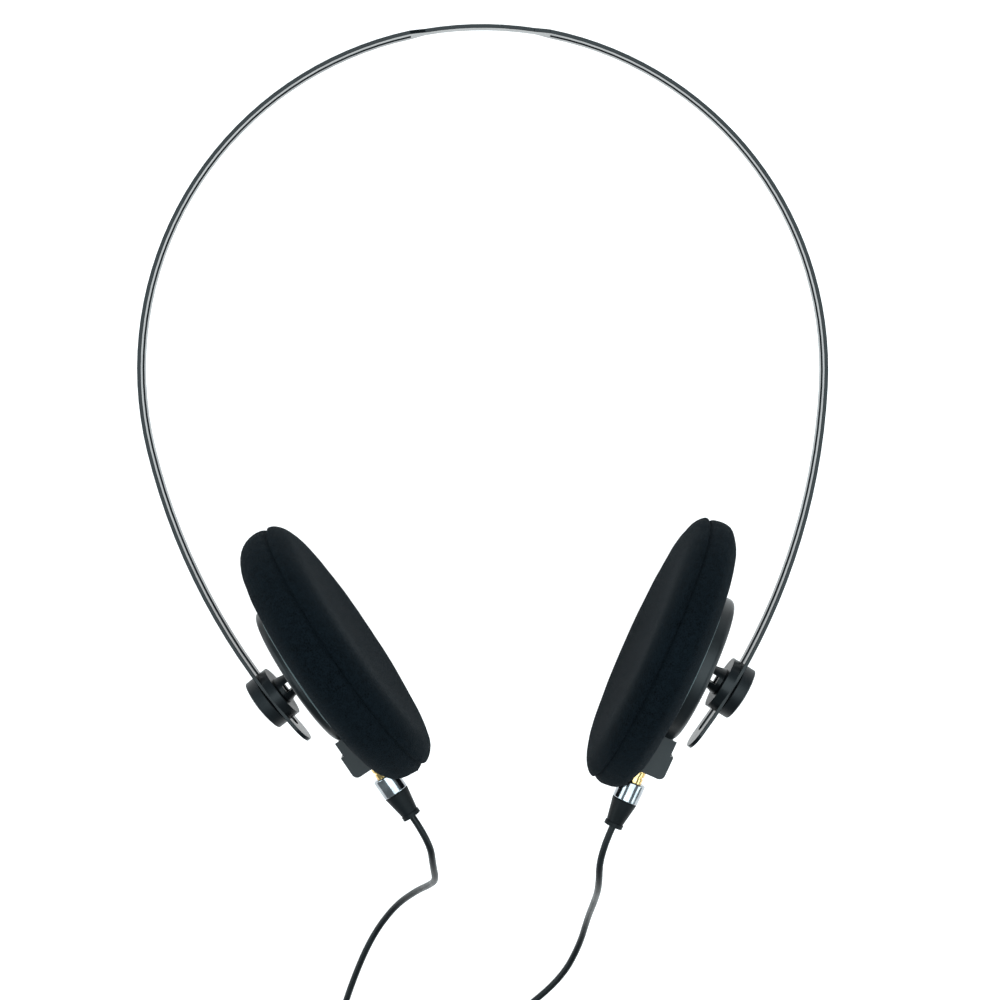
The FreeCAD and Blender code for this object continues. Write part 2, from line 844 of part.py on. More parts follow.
place(make_headband(), FreeCAD.Placement())
for name, side in (("left", -1), ("right", 1)):
    clip, cup = clip_frame(side), cup_frame(side)
    plug = cup * FreeCAD.Placement(
        FreeCAD.Vector(0, -driving["plug_shoulder"], driving["plug_back"]),
        FreeCAD.Rotation(FreeCAD.Vector(1, 0, 0), 90))
    ball = cup * FreeCAD.Placement(FreeCAD.Vector(0, 0, driving["ball_back"]), FreeCAD.Rotation())
    for make, part_name, frame in (
            (make_knob, "slider_knob", clip), (make_slider_post, "slider_post", clip),
            (make_clip_screw, "slider_screw", clip), (make_ball_liner, "ball_liner", ball),
            (make_rear_housing, "rear_housing", cup), (make_housing_screws, "housing_screws", cup),
            (make_baffle, "baffle", cup), (make_grille, "grille", cup),
            (make_damping_cloth, "damping_cloth", cup), (make_diaphragm, "diaphragm", cup),
            (make_voice_coil, "voice_coil", cup), (make_driver_frame, "driver_frame", cup),
            (make_pole_plate, "pole_plate", cup), (make_magnet, "magnet", cup),
            (make_yoke, "yoke", cup), (make_driver_cushion, "driver_cushion", cup),
            (make_foam_pad, "foam_pad", cup), (make_jack_block, "jack_block", cup),
            (make_jack_bushing, "jack_bushing", plug), (make_jack_contacts, "jack_contacts", cup),
            (make_pin, "plug_pin", plug), (make_barrel, "plug_barrel", plug),
            (make_boot, "plug_boot", plug)):
        place(make(f"{name}_{part_name}"), frame)

doc.recompute()
resting = resting_frame(placed[0], [body for body in placed if body.Label.endswith("foam_pad")])
for body in placed:
    body.Placement = resting * body.Placement
doc.recompute()
box = FreeCAD.BoundBox()
for body in placed:
    box.add(body.Shape.optimalBoundingBox(False))
shift = FreeCAD.Vector(-(box.XMin + box.XMax) / 2, -(box.YMin + box.YMax) / 2, -box.ZMin)
for body in placed:
    body.Placement = FreeCAD.Placement(shift, FreeCAD.Rotation()) * body.Placement
doc.recompute()


# ---------------------------------------------------------------- lead, in the resting frame
# Two branches fall from the cups to the table and are wound together. A splitter joins
# them to one longer lead, which is wound and tied beside them and ends in its own plug.

def boot_end(side_name):
    """Middle and direction of the cord's end of a cup plug."""
    boot = next(body for body in placed if body.Label == f"{side_name}_plug_boot")
    reach = driving["barrel_length"] + driving["boot_length"]
    end = boot.Placement.multVec(FreeCAD.Vector(0, 0, reach))
    return end, boot.Placement.Rotation.multVec(FreeCAD.Vector(0, 0, 1))


def cord_path(points):
    """Straight runs joined by tangent arcs, each as large as its two runs allow."""
    edges, radii = [], []
    start = points[0]
    for before, corner, after in zip(points, points[1:], points[2:]):
        arriving = (corner - before).normalize()
        leaving = (after - corner).normalize()
        half_turn = arriving.getAngle(leaving) / 2
        trim = 0.45 * min((corner - before).Length, (after - corner).Length)
        radii.append(trim / math.tan(half_turn))
        first, last = corner - arriving * trim, corner + leaving * trim
        inward = (leaving - arriving).normalize()
        middle = corner + inward * (trim * math.tan(half_turn / 2) * math.cos(half_turn))
        edges += [Part.LineSegment(start, first).toShape(), Part.Arc(first, middle, last).toShape()]
        start = last
    edges.append(Part.LineSegment(start, points[-1]).toShape())
    return Part.Wire(edges), radii


def cord_tube(points, radius):
    path, radii = cord_path(points)
    direction = (points[1] - points[0]).normalize()
    section = Part.Wire([Part.Circle(points[0], direction, radius).toShape()])
    tube = path.makePipeShell([section], True, True)
    expected = math.pi * radius * radius * path.Length
    print(f"tube {path.Length:.1f} long, smallest radius {min(radii):.1f},",
          f"volume {tube.Volume / expected:.3f} of what it should be")
    return tube


def make_cord(label, routes, radius):
    cord = doc.addObject("Part::Feature", label)
    cord.Label = label
    cord.Shape = Part.makeCompound([
        cord_tube([FreeCAD.Vector(*point) for point in route], radius) for route in routes])
    placed.append(cord)


def make_coil(label, mean_radius, across, top):
    """A plain ring of the outer shape of the wound cord, resting on its tie."""
    body = new_body(label)
    inner, outer = mean_radius - across / 2, mean_radius + across / 2
    low = size("tie_thickness")
    edge = 0.8
    revolve(body, [
        (outer - edge, low), (outer, low + edge, edge), (outer, top - edge),
        (outer - edge, top, edge), (inner + edge, top), (inner, top - edge, edge),
        (inner, low + edge), (inner + edge, low, edge),
    ])
    return body


def make_tie(label, mean_radius, across, top):
    """A strap round the bundle of the coil, on the coil's +X side."""
    body = new_body(label)
    inner, outer = mean_radius - across / 2 - 0.4, mean_radius + across / 2 + 0.05
    strap = size("tie_thickness")
    pad(body, "XZ_Plane", lambda sketch: rectangle(sketch, inner - strap, 0, outer + strap, top + strap),
        4, both_ways=True)
    cut(body, "XZ_Plane", lambda sketch: rectangle(sketch, inner, strap, outer, top), 6, both_ways=True)
    return body


def make_splitter(label):
    """The moulded Y piece, branches on its -X end and the lead on its +X end."""
    body = new_body(label)
    length, width, narrow = size("splitter_length"), size("splitter_width"), size("splitter_narrow")
    pad(body, "XY_Plane", lambda sketch: outline(sketch, [
        (0, -width / 2), (length * 0.55, -width / 2), (length, -narrow / 2), (length, narrow / 2),
        (length * 0.55, width / 2), (0, width / 2),
    ]), size("splitter_height"))
    soften(body, 1.2, lambda edge: abs(edge.CenterOfMass.x) > 0.01
           and abs(edge.CenterOfMass.x - length.number) > 0.01)
    return body


def lay(body, x, y, z=0, turn=FreeCAD.Rotation()):
    place(body, FreeCAD.Placement(FreeCAD.Vector(x, y, z), turn))


left_end, left_way = boot_end("left")
right_end, right_way = boot_end("right")
branch_coil_at = (-38, -168)
lead_coil_at = (28, -190)
splitter_at = (-23, -177)
splitter_middle = driving["splitter_height"] / 2
lead_start = splitter_at[0] + driving["splitter_length"]
first_run = 6.8

left_route = [
    left_end, left_end + left_way * first_run, (-19.4, -94.5, 35), (-20.6, -103.5, 21.5), (-24.4, -110.5, 8.6),
    (-31.5, -116.5, 1.4), (-39, -124.5, 0.8), (-44.8, -135, 0.8), (-49.4, -146, 0.8),
    (-48.6, -157, 1.1), (-46.6, -167, 1.6),
]
right_route = [
    right_end, right_end + right_way * first_run, (14.4, -99.5, 36.5), (13.2, -110, 19.5),
    (11.4, -119.5, 7.4), (9, -128.5, 1.8), (4.2, -136.6, 0.8), (-5, -144, 0.8),
    (-16.5, -151.5, 0.9), (-27, -157.4, 1.6), (-37, -159.7, 2.4),
]
left_tail = [(-38, -176.2, 1.9), (-31.5, -175.9, 2), (-23, -175.3, splitter_middle)]
right_tail = [(-38, -178, 1.9), (-31.5, -178.3, 2), (-23, -178.9, splitter_middle)]
lead_route = [(lead_start, -177, splitter_middle), (2, -177.4, 2), (13, -178.8, 2.4), (25, -178.4, 3.2)]
lead_tail = [(29, -201.6, 3.6), (22.5, -202.4, 3.2), (14, -203, driving["barrel_radius"])]

make_cord("left_branch_cord", [left_route, left_tail], driving["branch_radius"])
make_cord("right_branch_cord", [right_route, right_tail], driving["branch_radius"])
make_cord("lead_cord", [lead_route, lead_tail], driving["lead_radius"])
for name, (x, y) in (("branch", branch_coil_at), ("lead", lead_coil_at)):
    shape = size(f"{name}_coil_radius"), size(f"{name}_coil_width"), size(f"{name}_coil_top")
    lay(make_coil(f"{name}_coil", *shape), x, y)
    lay(make_tie(f"{name}_tie", *shape), x, y)
lay(make_splitter("splitter"), *splitter_at)
shoulder = lead_tail[-1][0] - driving["barrel_length"] - driving["boot_length"]
toward_cord = FreeCAD.Rotation(FreeCAD.Vector(0, 1, 0), 90)
for make, part_name in ((make_pin, "pin"), (make_barrel, "barrel"), (make_boot, "boot")):
    lay(make(f"lead_plug_{part_name}"), shoulder, lead_tail[-1][1], lead_tail[-1][2], toward_cord)
doc.recompute()

os.makedirs("parts", exist_ok=True)
for item in placed:
    states = [item.State] + [member.State for member in getattr(item, "Group", [])]
    assert not any("Invalid" in state or "Error" in state for state in states), item.Label
    assert not item.Shape.isNull() and item.Shape.isValid(), item.Label
    item.Shape.exportStep(f"parts/{item.Label}.step")
print(len(placed), "nodes")
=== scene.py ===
import bpy, bmesh, json, math
from mathutils import Matrix, Vector, noise


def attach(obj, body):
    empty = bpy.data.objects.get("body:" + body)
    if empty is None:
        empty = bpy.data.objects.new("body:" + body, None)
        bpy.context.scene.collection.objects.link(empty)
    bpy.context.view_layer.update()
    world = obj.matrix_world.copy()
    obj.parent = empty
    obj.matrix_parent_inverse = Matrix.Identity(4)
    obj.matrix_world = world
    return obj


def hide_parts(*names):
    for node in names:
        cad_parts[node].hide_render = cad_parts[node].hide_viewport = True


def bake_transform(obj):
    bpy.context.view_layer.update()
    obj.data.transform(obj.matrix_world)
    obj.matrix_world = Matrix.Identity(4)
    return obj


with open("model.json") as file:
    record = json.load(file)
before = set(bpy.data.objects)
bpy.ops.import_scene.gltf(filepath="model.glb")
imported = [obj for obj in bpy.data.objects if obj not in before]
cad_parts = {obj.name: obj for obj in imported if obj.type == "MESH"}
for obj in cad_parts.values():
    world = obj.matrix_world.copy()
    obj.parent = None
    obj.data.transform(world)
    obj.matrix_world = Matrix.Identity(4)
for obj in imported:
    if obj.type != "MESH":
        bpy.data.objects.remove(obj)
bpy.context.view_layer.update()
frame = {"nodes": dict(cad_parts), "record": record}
scene = bpy.context.scene
joints = {joint["name"]: joint for joint in frame["record"]["behaviour"]["joints"]}
mm = 0.001

# camera: high above the earpieces, looking back over the band
cameraShot = {
    "target": (1.07 * mm, -13.37 * mm, 24.59 * mm),
    "back": (0, 0.26782, 0.96347),
    "up": (0.09272, 0.95932, -0.26667),
    "distance": 0.516,
    "lens": 87.95,
}
cameraData = bpy.data.cameras.new("camera")
camera = bpy.data.objects.new("camera", cameraData)
scene.collection.objects.link(camera)
cameraBack = Vector(cameraShot["back"]).normalized()
cameraRight = Vector(cameraShot["up"]).cross(cameraBack).normalized()
cameraUp = cameraBack.cross(cameraRight)
cameraTurn = Matrix((cameraRight, cameraUp, cameraBack)).transposed().to_4x4()
eye = Vector(cameraShot["target"]) + cameraBack * cameraShot["distance"]
camera.matrix_world = Matrix.Translation(eye) @ cameraTurn
cameraData.sensor_width = 36
cameraData.lens = cameraShot["lens"]
cameraData.clip_start, cameraData.clip_end = 0.01, 20
scene.camera = camera
print("camera ready")


# small helpers
def linkObject(name, data):
    piece = bpy.data.objects.new(name, data)
    scene.collection.objects.link(piece)
    return piece


def meshFrom(bm, name):
    mesh = bpy.data.meshes.new(name)
    bm.to_mesh(mesh)
    bm.free()
    return linkObject(name, mesh)


def shadeSmooth(bm, sharpAngle=180):
    limit = math.radians(sharpAngle)
    for face in bm.faces:
        face.smooth = True
    for edge in bm.edges:
        edge.smooth = not edge.is_manifold or edge.calc_face_angle(0) < limit


def finishPiece(piece, body, material, nodes=()):
    piece.data.materials.clear()
    piece.data.materials.append(material)
    if body:
        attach(piece, body)
    if nodes:
        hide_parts(*nodes)
    return piece


# finishes
def newFinish(name, look):
    material = bpy.data.materials.new(name)
    material.use_nodes = True
    shader = material.node_tree.nodes["Principled BSDF"]
    shader.inputs["Metallic"].default_value = look.get("metal", 0)
    shader.inputs["IOR"].default_value = 1.46
    shader.inputs["Specular IOR Level"].default_value = look.get("gleam", 0.5)
    shader.inputs["Coat Weight"].default_value = look.get("coat", 0)
    shader.inputs["Coat Roughness"].default_value = look.get("coatRough", 0.1)
    shader.inputs["Sheen Weight"].default_value = look.get("sheen", 0)
    shader.inputs["Sheen Roughness"].default_value = look.get("sheenRough", 0.5)
    shader.inputs["Sheen Tint"].default_value = (*look.get("sheenTint", (1, 1, 1)), 1)
    return material, shader


def addNode(material, kind, **inputs):
    node = material.node_tree.nodes.new(kind)
    for socket, value in inputs.items():
        node.inputs[socket].default_value = value
    return node


def join(material, source, target):
    material.node_tree.links.new(source, target)


def objectPlace(material):
    return addNode(material, "ShaderNodeTexCoord").outputs["Object"]


def speckle(material, place, scale, detail=3, rough=0.6):
    node = addNode(material, "ShaderNodeTexNoise", Scale=scale, Detail=detail, Roughness=rough)
    join(material, place, node.inputs["Vector"])
    return node.outputs["Fac"]


def between(material, factor, low, high, fromLow=0.3, fromHigh=0.7):
    node = addNode(material, "ShaderNodeMapRange", **{
        "From Min": fromLow, "From Max": fromHigh, "To Min": low, "To Max": high})
    join(material, factor, node.inputs["Value"])
    return node.outputs["Result"]


def twoTone(material, factor, first, second, low=0.35, high=0.65):
    node = material.node_tree.nodes.new("ShaderNodeValToRGB")
    node.color_ramp.elements[0].position, node.color_ramp.elements[1].position = low, high
    node.color_ramp.elements[0].color, node.color_ramp.elements[1].color = (*first, 1), (*second, 1)
    join(material, factor, node.inputs["Fac"])
    return node.outputs["Color"]


def relief(material, shader, height, depth, below=None):
    node = addNode(material, "ShaderNodeBump", Distance=depth, Strength=1)
    join(material, height, node.inputs["Height"])
    if below:
        join(material, below, node.inputs["Normal"])
    join(material, node.outputs["Normal"], shader.inputs["Normal"])
    return node.outputs["Normal"]


def mouldedFinish(name, look):
    # moulded plastic, rubber, vinyl or lacquer: fine skin over a slow drift, with rubbed patches
    material, shader = newFinish(name, look)
    place = objectPlace(material)
    drift = speckle(material, place, look.get("driftScale", 90), 4)
    skin = speckle(material, place, look["grainScale"], 2)
    join(material, twoTone(material, drift, look["color"], look["worn"]), shader.inputs["Base Color"])
    join(material, between(material, drift, *look["rough"]), shader.inputs["Roughness"])
    wave = relief(material, shader, drift, look.get("wave", 0.00002))
    relief(material, shader, skin, look["grain"], wave)
    return material


def brushedFinish(name, look):
    # metal: streaks drawn out along one direction, light tarnish, fine scratches
    material, shader = newFinish(name, {"metal": 1, **look})
    mapping = addNode(material, "ShaderNodeMapping", Scale=look.get("stretch", (1, 1, 12)))
    join(material, objectPlace(material), mapping.inputs["Vector"])
    streaks = speckle(material, mapping.outputs["Vector"], look["grainScale"], 5)
    tarnish = speckle(material, objectPlace(material), look.get("driftScale", 400), 3)
    join(material, twoTone(material, tarnish, look["color"], look["worn"]), shader.inputs["Base Color"])
    join(material, between(material, streaks, *look["rough"]), shader.inputs["Roughness"])
    relief(material, shader, streaks, look["grain"])
    return material


def foamFinish(name, look):
    # open-cell foam: tiny cells with dark pores between lighter struts
    strutWidth, strutShare, patchShare = 0.22, 0.45, 0.35
    material, shader = newFinish(name, look)
    place = objectPlace(material)
    cells = addNode(material, "ShaderNodeTexVoronoi", Scale=look["grainScale"])
    cells.feature = "DISTANCE_TO_EDGE"
    join(material, place, cells.inputs["Vector"])
    struts = between(material, cells.outputs["Distance"], 1, 0, fromLow=0, fromHigh=strutWidth)
    tufts = speckle(material, place, look["grainScale"] * 0.33, 4, 0.7)
    patches = speckle(material, place, look["driftScale"], 3)
    grain = addNode(material, "ShaderNodeMath")
    grain.operation = "MULTIPLY_ADD"
    join(material, struts, grain.inputs[0])
    grain.inputs[1].default_value = strutShare
    join(material, tufts, grain.inputs[2])
    tone = addNode(material, "ShaderNodeMath")
    tone.operation = "MULTIPLY_ADD"
    join(material, patches, tone.inputs[0])
    tone.inputs[1].default_value = patchShare
    join(material, grain.outputs["Value"], tone.inputs[2])
    join(material, twoTone(material, tone.outputs["Value"], look["color"], look["worn"], 0.45, 1.05),
         shader.inputs["Base Color"])
    join(material, between(material, tufts, *look["rough"]), shader.inputs["Roughness"])
    relief(material, shader, grain.outputs["Value"], look["grain"])
    return material


def clothFinish(name, look):
    # plain weave: two crossed sets of threads
    material, shader = newFinish(name, look)
    place = objectPlace(material)
    threads = []
    for axis in ("X", "Y"):
        wave = addNode(material, "ShaderNodeTexWave", Scale=look["grainScale"], Distortion=0.4)
        wave.bands_direction = axis
        join(material, place, wave.inputs["Vector"])
        threads.append(wave.outputs["Fac"])
    weave = addNode(material, "ShaderNodeMath")
    weave.operation = "MAXIMUM"
    join(material, threads[0], weave.inputs[0])
    join(material, threads[1], weave.inputs[1])
    join(material, twoTone(material, weave.outputs["Value"], look["color"], look["worn"]),
         shader.inputs["Base Color"])
    join(material, between(material, weave.outputs["Value"], *look["rough"]), shader.inputs["Roughness"])
    relief(material, shader, weave.outputs["Value"], look["grain"])
    return material


finishes = {
    "band_steel": mouldedFinish("bandLacquer", {
        "color": (0.003, 0.0048, 0.0058), "worn": (0.007, 0.01, 0.012), "rough": (0.14, 0.24),
        "grainScale": 5000, "grain": 0.0000015, "driftScale": 160, "wave": 0.00001,
        "gleam": 0.2, "coat": 0.07, "coatRough": 0.08}),
    "knob_plastic": mouldedFinish("knobPlastic", {
        "color": (0.003, 0.0046, 0.0058), "worn": (0.007, 0.0095, 0.0115), "rough": (0.36, 0.5),
        "grainScale": 6500, "grain": 0.000008, "gleam": 0.26}),
    "post_plastic": mouldedFinish("postPlastic", {
        "color": (0.003, 0.0046, 0.0058), "worn": (0.007, 0.0095, 0.0115), "rough": (0.26, 0.38),
        "grainScale": 5200, "grain": 0.000003, "gleam": 0.24, "coat": 0.03}),
    "housing_plastic": mouldedFinish("housingPlastic", {
        "color": (0.003, 0.0045, 0.0055), "worn": (0.008, 0.011, 0.013), "rough": (0.34, 0.48),
        "grainScale": 6000, "grain": 0.000009, "gleam": 0.4}),
    "baffle_plastic": mouldedFinish("bafflePlastic", {
        "color": (0.008, 0.009, 0.01), "worn": (0.015, 0.016, 0.018), "rough": (0.5, 0.64),
        "grainScale": 5200, "grain": 0.00001}),
    "liner_plastic": mouldedFinish("linerPlastic", {
        "color": (0.62, 0.61, 0.57), "worn": (0.7, 0.69, 0.66), "rough": (0.4, 0.52),
        "grainScale": 4200, "grain": 0.000004}),
    "diaphragm_film": mouldedFinish("diaphragmFilm", {
        "color": (0.5, 0.48, 0.4), "worn": (0.58, 0.55, 0.46), "rough": (0.18, 0.28),
        "grainScale": 3000, "grain": 0.000004}),
    "cushion_foam": mouldedFinish("cushionFoam", {
        "color": (0.02, 0.02, 0.02), "worn": (0.035, 0.035, 0.035), "rough": (0.75, 0.9),
        "grainScale": 4200, "grain": 0.00004}),
    "boot_rubber": mouldedFinish("bootRubber", {
        "color": (0.002, 0.0032, 0.004), "worn": (0.006, 0.008, 0.0095), "rough": (0.46, 0.6),
        "grainScale": 7000, "grain": 0.00001, "gleam": 0.2}),
    "cord_vinyl": mouldedFinish("cordVinyl", {
        "color": (0.003, 0.0042, 0.005), "worn": (0.008, 0.0105, 0.012), "rough": (0.34, 0.48),
        "gleam": 0.28, "grainScale": 4500, "grain": 0.000006, "driftScale": 240}),
    "tie_plastic": mouldedFinish("tiePlastic", {
        "color": (0.009, 0.009, 0.009), "worn": (0.016, 0.016, 0.016), "rough": (0.4, 0.55),
        "grainScale": 3200, "grain": 0.00002}),
    "foam": foamFinish("padFoam", {
        "color": (0.0005, 0.001, 0.0014), "worn": (0.0052, 0.0085, 0.0115), "rough": (0.85, 0.98),
        "grainScale": 2300, "grain": 0.00016, "driftScale": 70, "gleam": 0.04,
        "sheen": 0.013, "sheenRough": 0.5, "sheenTint": (0.66, 0.86, 1)}),
    # the hem is a thin bead whose light colour is a painted highlight along the edge of the rear housing
    "hem": foamFinish("padHemPaintedHighlight", {
        "color": (0.04, 0.058, 0.062), "worn": (0.1, 0.135, 0.14), "rough": (0.5, 0.62),
        "grainScale": 3600, "grain": 0.00006, "driftScale": 120, "gleam": 0.4,
        "sheen": 0.1, "sheenRough": 0.4, "sheenTint": (0.7, 0.9, 1)}),
    "cloth": clothFinish("dampingCloth", {
        "color": (0.02, 0.02, 0.022), "worn": (0.07, 0.07, 0.075), "rough": (0.7, 0.85),
        "grainScale": 900, "grain": 0.00004}),
    "grille_steel": brushedFinish("grilleSteel", {
        "color": (0.02, 0.02, 0.021), "worn": (0.05, 0.05, 0.052), "rough": (0.42, 0.58),
        "grainScale": 900, "grain": 0.000004}),
    "screw_steel": brushedFinish("screwSteel", {
        "color": (0.5, 0.5, 0.51), "worn": (0.36, 0.36, 0.38), "rough": (0.22, 0.36),
        "grainScale": 1500, "grain": 0.000003}),
    "yoke_steel": brushedFinish("yokeSteel", {
        "color": (0.55, 0.56, 0.58), "worn": (0.42, 0.43, 0.45), "rough": (0.26, 0.4),
        "grainScale": 1200, "grain": 0.000003}),
    "magnet_alloy": brushedFinish("magnetAlloy", {
        "color": (0.4, 0.4, 0.42), "worn": (0.3, 0.3, 0.32), "rough": (0.2, 0.34),
        "grainScale": 1100, "grain": 0.000002}),
    "copper": brushedFinish("coilCopper", {
        "color": (0.72, 0.32, 0.14), "worn": (0.5, 0.2, 0.09), "rough": (0.22, 0.36),
        "grainScale": 2600, "grain": 0.00002, "stretch": (1, 1, 6)}),
    "contact_metal": brushedFinish("contactMetal", {
        "color": (0.78, 0.66, 0.42), "worn": (0.6, 0.48, 0.3), "rough": (0.2, 0.34),
        "grainScale": 1500, "grain": 0.000002}),
    "plug_gold": brushedFinish("plugGold", {
        "color": (0.86, 0.62, 0.27), "worn": (0.68, 0.45, 0.17), "rough": (0.12, 0.26),
        "grainScale": 1600, "grain": 0.000002, "stretch": (1, 1, 1)}),
    "plug_chrome": brushedFinish("plugChrome", {
        "color": (0.44, 0.46, 0.48), "worn": (0.3, 0.31, 0.33), "rough": (0.08, 0.2),
        "grainScale": 1300, "grain": 0.000003, "stretch": (1, 1, 1)}),
}
print("finishes ready")


# hard parts: the built shapes with their corners eased
easedCorners = {            # node: (bevel width, body) by part name
    "slider_knob": (0.16, "slider"), "slider_post": (0.14, "slider"), "slider_screw": (0.08, "slider"),
    "rear_housing": (0.18, "cup"), "housing_screws": (0.1, "cup"), "baffle": (0.12, "cup"),
    "grille": (0.06, "cup"), "jack_block": (0.16, "cup"), "jack_bushing": (0.08, "cup"),
    "plug_pin": (0.06, "plug"), "plug_barrel": (0.14, "plug"), "plug_boot": (0.16, "plug"),
}
easedAlone = {
    "headband": 0.12, "splitter": 0.25, "branch_tie": 0.08, "lead_tie": 0.08,
    "lead_plug_pin": 0.06, "lead_plug_barrel": 0.14, "lead_plug_boot": 0.16,
}
easedShape = {"weld": 2e-6, "sharpAngle": 28, "segments": 2}    # in metres and degrees
slotOf = {part["node"]: part["material_slot"] for part in frame["record"]["subparts"]}


def easeCorners(node, body, width):
    bm = bmesh.new()
    bm.from_mesh(frame["nodes"][node].data)
    bmesh.ops.remove_doubles(bm, verts=bm.verts, dist=easedShape["weld"])
    shadeSmooth(bm, easedShape["sharpAngle"])
    piece = meshFrom(bm, node + "_shell")
    bevel = piece.modifiers.new("bevel", "BEVEL")
    bevel.width = width * mm
    bevel.segments = easedShape["segments"]
    bevel.limit_method = "ANGLE"
    bevel.angle_limit = math.radians(easedShape["sharpAngle"])
    bevel.harden_normals = True
    return finishPiece(piece, body, finishes[slotOf[node]], [node])


shells = {node: easeCorners(node, "headband", width) for node, width in easedAlone.items()}
for side in ("left", "right"):
    for part, (width, body) in easedCorners.items():
        easeCorners(f"{side}_{part}", f"{side}_{body}", width)
for node, piece in frame["nodes"].items():      # the parts that keep their built shape
    for place in piece.material_slots:
        place.material = finishes[slotOf[node]]
print("hard parts ready")


# cords: each follows one smooth line, and the unseen length is wound and tied beside it
def smoothLine(name, points, thickness=0):
    curve = bpy.data.curves.new(name, "CURVE")
    curve.dimensions = "3D"
    spline = curve.splines.new("NURBS")
    spline.points.add(len(points) - 1)
    for place, point in zip(spline.points, points):
        place.co = (*point, 1)
    spline.order_u = 3
    spline.use_endpoint_u = True
    curve.resolution_u = 6
    curve.bevel_depth = thickness / 2
    curve.bevel_resolution = 4
    curve.use_fill_caps = thickness > 0
    return linkObject(name, curve)


def linePoints(points):
    line = smoothLine("guideLine", points)
    mesh = bpy.data.meshes.new_from_object(line)
    found = [vertex.co.copy() for vertex in mesh.vertices]
    bpy.data.objects.remove(line)
    bpy.data.meshes.remove(mesh)
    return found


def tubeAlong(name, path, thickness):
    curve = bpy.data.curves.new(name, "CURVE")
    curve.dimensions = "3D"
    spline = curve.splines.new("POLY")
    spline.points.add(len(path) - 1)
    for place, point in zip(spline.points, path):
        place.co = (*point, 1)
    curve.bevel_depth = thickness / 2
    curve.bevel_resolution = 4
    line = linkObject(name + "Line", curve)
    mesh = bpy.data.meshes.new_from_object(line)
    mesh.name = name
    bpy.data.objects.remove(line)
    for polygon in mesh.polygons:
        polygon.use_smooth = True
    return linkObject(name, mesh)


def pathLength(path):
    return sum((after - before).length for before, after in zip(path, path[1:]))


def pathParts(path, lengths):
    # consecutive stretches of a path, the last one taking what is left
    parts, part, walked = [], [path[0]], 0
    ends = list(lengths)
    for before, after in zip(path, path[1:]):
        part.append(after)
        walked += (after - before).length
        if ends and walked >= ends[0]:
            parts.append(part)
            part, walked = [after], 0
            ends.pop(0)
    return parts + [part]


def millimetres(points):
    return [Vector(point) * mm for point in points]


def turnsRound(centre, start, turns, direction, radii, heights, perTurn=14):
    # points of wound cord, from the start angle, with radius and height read along the winding
    count = round(turns * perTurn)
    found = []
    for step in range(count + 1):
        share = step / count
        angle = math.radians(start) + direction * 2 * math.pi * turns * share
        reach, high = readAlong(radii, share * turns), readAlong(heights, share * turns)
        found.append(Vector((centre[0] + reach * math.cos(angle),
                             centre[1] + reach * math.sin(angle), high)) * mm)
    return found


def readAlong(steps, at):
    # steps are (turn, value) pairs in rising order of turn
    for (first, low), (second, high) in zip(steps, steps[1:]):
        if at <= second:
            return low + (high - low) * (at - first) / (second - first)
    return steps[-1][1]


ballBack = 11.3     # from the seam of the pad back to the ball, in millimetres


def cupFrame(side):
    nod, swivel = joints[side + "_cup_nod"], joints[side + "_cup_swivel"]
    across, up = Vector(nod["axis"]), Vector(swivel["axis"])
    out = across.cross(up).normalized()
    centre = Vector(nod["pos_m"]) - out * ballBack * mm
    return Matrix((across, up, out)).transposed().to_4x4(), centre


def inCup(side, x, y, z):
    turn, centre = cupFrame(side)
    return centre + turn @ (Vector((x, y, z)) * mm)


branchCord = {
    "thickness": 1.5 * mm,
    "coilCentre": (-38, -168),
    "plugShoulder": 27.5,   # below the middle of the earpiece
    "plugBack": 8.4,        # behind the seam of its pad
    "bootEnd": 10.6,        # from the plug's shoulder to the end of its boot
    "firstRun": 6.8,        # straight out of the boot
    # plug to cup, cup to liner, liner to slider, slider to headband; the coil stays with the headband
    "stretches": (31 * mm, 9 * mm, 31 * mm, 31 * mm),
}
branchRoutes = {
    "left": [(-20.6, -90.5, 35.4), (-20.6, -97, 28.2), (-22.6, -102.6, 18), (-26.4, -108, 8.8),
             (-32, -114.2, 2.4), (-38.2, -122.2, 0.8), (-44, -133.5, 0.8), (-48.6, -145, 0.8),
             (-49.2, -157, 0.9)],
    "right": [(14.6, -98.5, 36.5), (13.7, -109.5, 20), (12.2, -119, 7.8), (9.9, -128.6, 1.8),
              (5.2, -136.8, 0.8), (-4.2, -144.2, 0.8), (-16.5, -151.5, 0.9), (-27, -157, 1.8)],
}
branchTurns = {
    "left": turnsRound(branchCord["coilCentre"], 176, 3.2, 1,
                       [(0, 10.4), (2.5, 7), (2.75, 5.3), (3.2, 5.2)],
                       [(0, 1.05), (2.6, 1.05), (3, 4.1), (3.2, 4.1)]),
    "right": turnsRound(branchCord["coilCentre"], 96, 3.45, 1,
                        [(0, 10.4), (2.5, 7), (3.45, 6.9)],
                        [(0, 2.6), (2.8, 2.6), (3.2, 4.2), (3.45, 4.2)]),
}
branchTails = {
    "left": [(-36, -174.6, 4.1), (-31.5, -175.2, 4), (-28, -175.3, 2.8), (-25.5, -175.3, 2.2),
             (-23, -175.3, 2.2)],
    "right": [(-35.5, -176.6, 4.1), (-31, -178.3, 3), (-26, -178.9, 2.2), (-23, -178.9, 2.2)],
}
